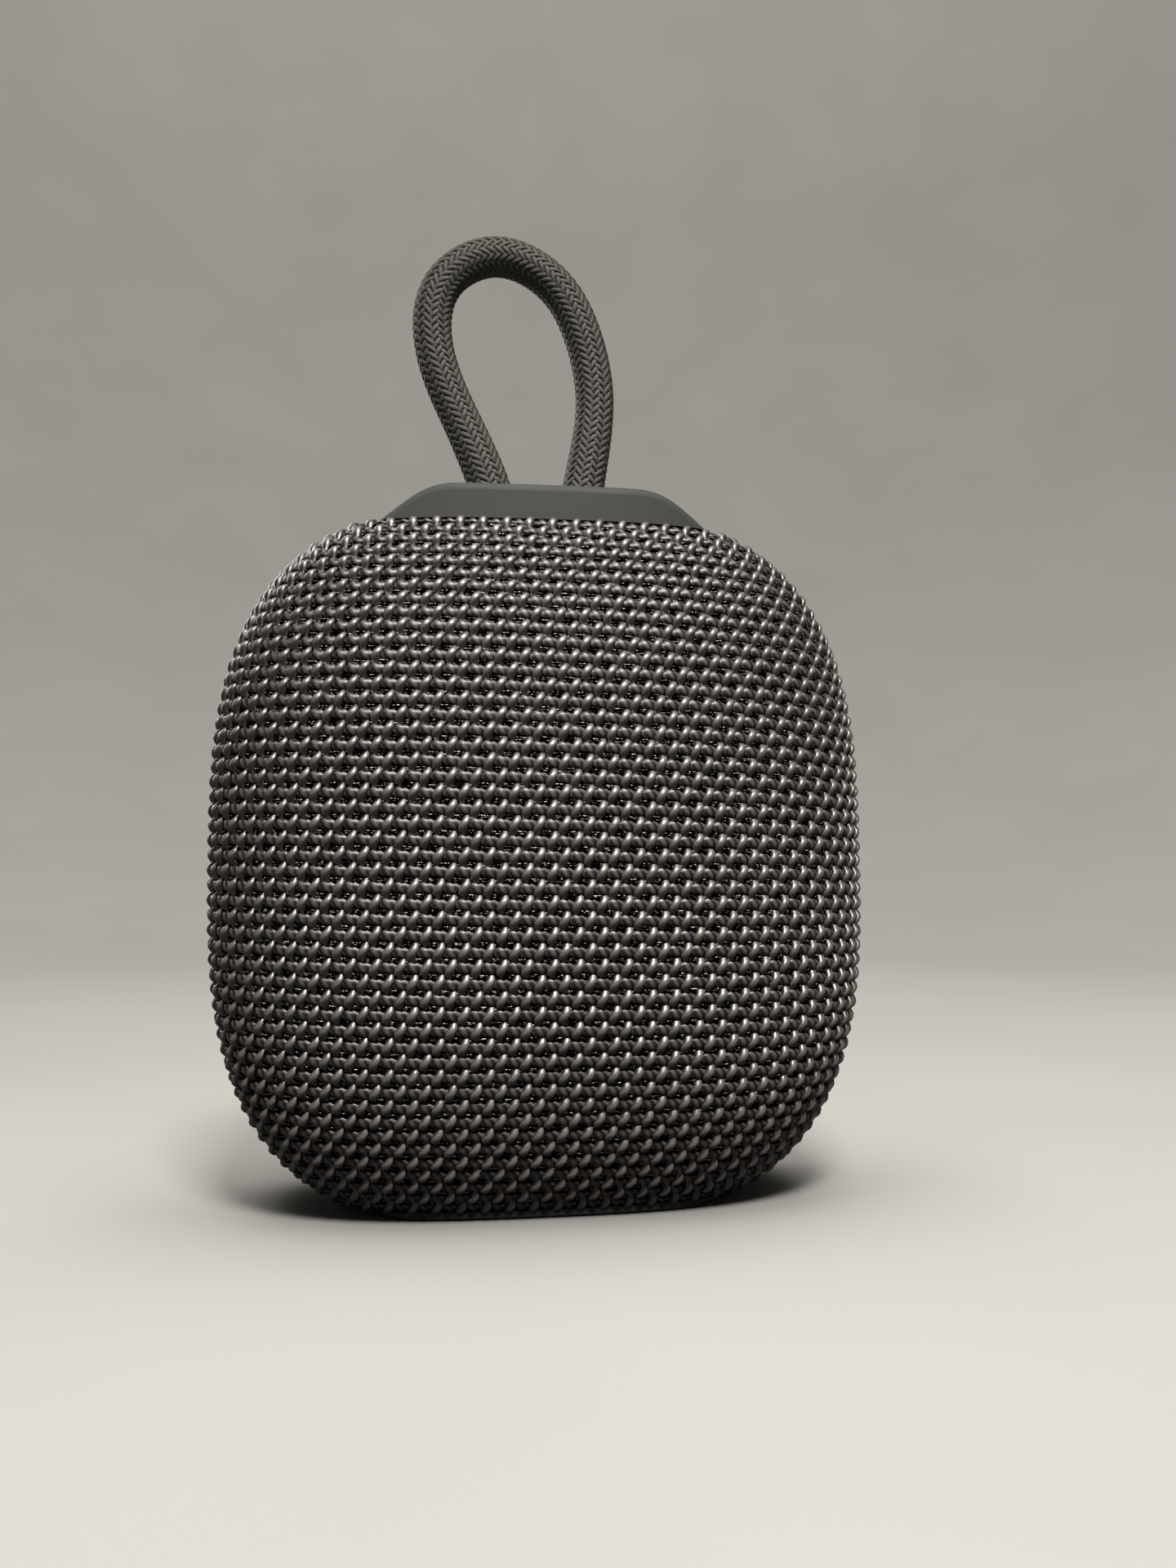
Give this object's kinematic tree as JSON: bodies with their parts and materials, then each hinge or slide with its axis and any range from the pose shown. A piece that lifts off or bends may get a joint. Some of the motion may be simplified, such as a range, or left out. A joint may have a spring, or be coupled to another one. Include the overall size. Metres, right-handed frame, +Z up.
{
  "type": "portable bluetooth speaker",
  "caption": "Small battery speaker with a woven fabric pillow body, a silicone saddle over its top, back and foot, push buttons, a covered charging port and a braided rope carrying loop.",
  "frame": {"origin": "centre of the foot's resting face, under the middle of the body", "axes": "+Z up when the speaker stands on its foot, front faces -Y, +X to the right seen from the front"},
  "size_m": [0.0948, 0.0433, 0.1465],
  "materials": {
    "fabric": "coarse plain weave, slight sheen",
    "silicone": "matte",
    "button_silicone": "matte",
    "rope": "fine braid",
    "black_plastic": "moulded",
    "steel": "satin",
    "nickel": "plated",
    "aluminium": "satin",
    "copper": "wound wire",
    "cone_paper": "pressed fibre",
    "surround_rubber": "matte",
    "spider_cloth": "impregnated cloth",
    "foam": "open cell",
    "board": "solder mask",
    "component": "moulded",
    "cell_wrap": "shrink wrap",
    "lead": "smooth",
    "flex": "smooth film",
    "lens": "frosted"
  },
  "bodies": {
    "body": {"fabric_sleeve": "fabric", "silicone_saddle": "silicone", "front_grille": "black_plastic", "back_shell": "black_plastic", "baffle": "black_plastic", "baffle_gasket": "foam", "baffle_screws": "steel", "driver_gasket": "foam", "driver_basket": "steel", "driver_screws": "steel", "driver_yoke": "nickel", "driver_magnet": "nickel", "pole_piece": "steel", "driver_surround": "surround_rubber", "spider": "spider_cloth", "passive_frame": "black_plastic", "passive_surround": "surround_rubber", "battery_cell": "cell_wrap", "battery_cradle": "black_plastic", "battery_pads": "foam", "main_board": "board", "board_screws": "steel", "usb_receptacle": "nickel", "shield_can": "nickel", "amplifier_chip": "component", "inductor": "component", "capacitors": "aluminium", "status_led": "lens", "light_pipe": "lens", "rear_switches": "component", "key_board": "board", "key_board_screws": "steel", "key_switches": "component", "microphone": "nickel", "ribbon": "flex", "port_bezel": "black_plastic", "port_flap_pin": "steel", "rope_ends": "rope", "rope_crimps": "aluminium", "rope_anchor": "black_plastic", "anchor_screws": "steel", "battery_leads": "lead", "speaker_leads": "lead"},
    "rope": {"rope_loop": "rope"},
    "cone": {"driver_cone": "cone_paper", "dust_cap": "cone_paper", "voice_coil": "copper"},
    "passive": {"passive_plate": "cone_paper"},
    "flap": {"port_flap": "button_silicone"},
    "minus_key": {"minus_button": "button_silicone"},
    "minus_switch_plunger": {"minus_plunger": "component"},
    "play_key": {"play_button": "button_silicone"},
    "play_switch_plunger": {"play_plunger": "component"},
    "plus_key": {"plus_button": "button_silicone"},
    "plus_switch_plunger": {"plus_plunger": "component"},
    "power_key": {"power_button": "button_silicone"},
    "power_switch_plunger": {"power_plunger": "component"},
    "pairing_key": {"pairing_button": "button_silicone"},
    "pairing_switch_plunger": {"pairing_plunger": "component"}
  },
  "joints": [
    {"name": "rope_flop", "type": "hinge", "parent": "body", "child": "rope", "pos_m": [0, 0.0065, 0.1058], "axis": [1, 0, 0], "range_deg": [-75, 75]},
    {"name": "port_flap_hinge", "type": "hinge", "parent": "body", "child": "flap", "pos_m": [0, 0.0206, 0.0835], "axis": [-1, 0, 0], "range_deg": [0, 100]},
    {"name": "cone_travel", "type": "slide", "parent": "body", "child": "cone", "axis": [0, -1, 0], "range_m": [-0.0018, 0.0018], "deforming": ["driver_surround", "spider"]},
    {"name": "passive_travel", "type": "slide", "parent": "body", "child": "passive", "axis": [0, 1, 0], "range_m": [-0.0018, 0.0018], "deforming": ["passive_surround"]},
    {"name": "minus_press", "type": "slide", "parent": "body", "child": "minus_key", "axis": [0, 0, -1], "range_m": [0, 0.0006]},
    {"name": "minus_plunger_travel", "type": "slide", "parent": "body", "child": "minus_switch_plunger", "axis": [0, 0, -1], "range_m": [0, 0.0006]},
    {"name": "play_press", "type": "slide", "parent": "body", "child": "play_key", "axis": [0, 0, -1], "range_m": [0, 0.0006]},
    {"name": "play_plunger_travel", "type": "slide", "parent": "body", "child": "play_switch_plunger", "axis": [0, 0, -1], "range_m": [0, 0.0006]},
    {"name": "plus_press", "type": "slide", "parent": "body", "child": "plus_key", "axis": [0, 0, -1], "range_m": [0, 0.0006]},
    {"name": "plus_plunger_travel", "type": "slide", "parent": "body", "child": "plus_switch_plunger", "axis": [0, 0, -1], "range_m": [0, 0.0006]},
    {"name": "power_press", "type": "slide", "parent": "body", "child": "power_key", "axis": [0, -1, 0], "range_m": [0, 0.0006]},
    {"name": "power_plunger_travel", "type": "slide", "parent": "body", "child": "power_switch_plunger", "axis": [0, -1, 0], "range_m": [0, 0.0006]},
    {"name": "pairing_press", "type": "slide", "parent": "body", "child": "pairing_key", "axis": [0, -1, 0], "range_m": [0, 0.0006]},
    {"name": "pairing_plunger_travel", "type": "slide", "parent": "body", "child": "pairing_switch_plunger", "axis": [0, -1, 0], "range_m": [0, 0.0006]}
  ],
  "couplings": [
    {"joint": "minus_plunger_travel", "follows": "minus_press", "ratio": 1},
    {"joint": "play_plunger_travel", "follows": "play_press", "ratio": 1},
    {"joint": "plus_plunger_travel", "follows": "plus_press", "ratio": 1},
    {"joint": "power_plunger_travel", "follows": "power_press", "ratio": 1},
    {"joint": "pairing_plunger_travel", "follows": "pairing_press", "ratio": 1}
  ]
}
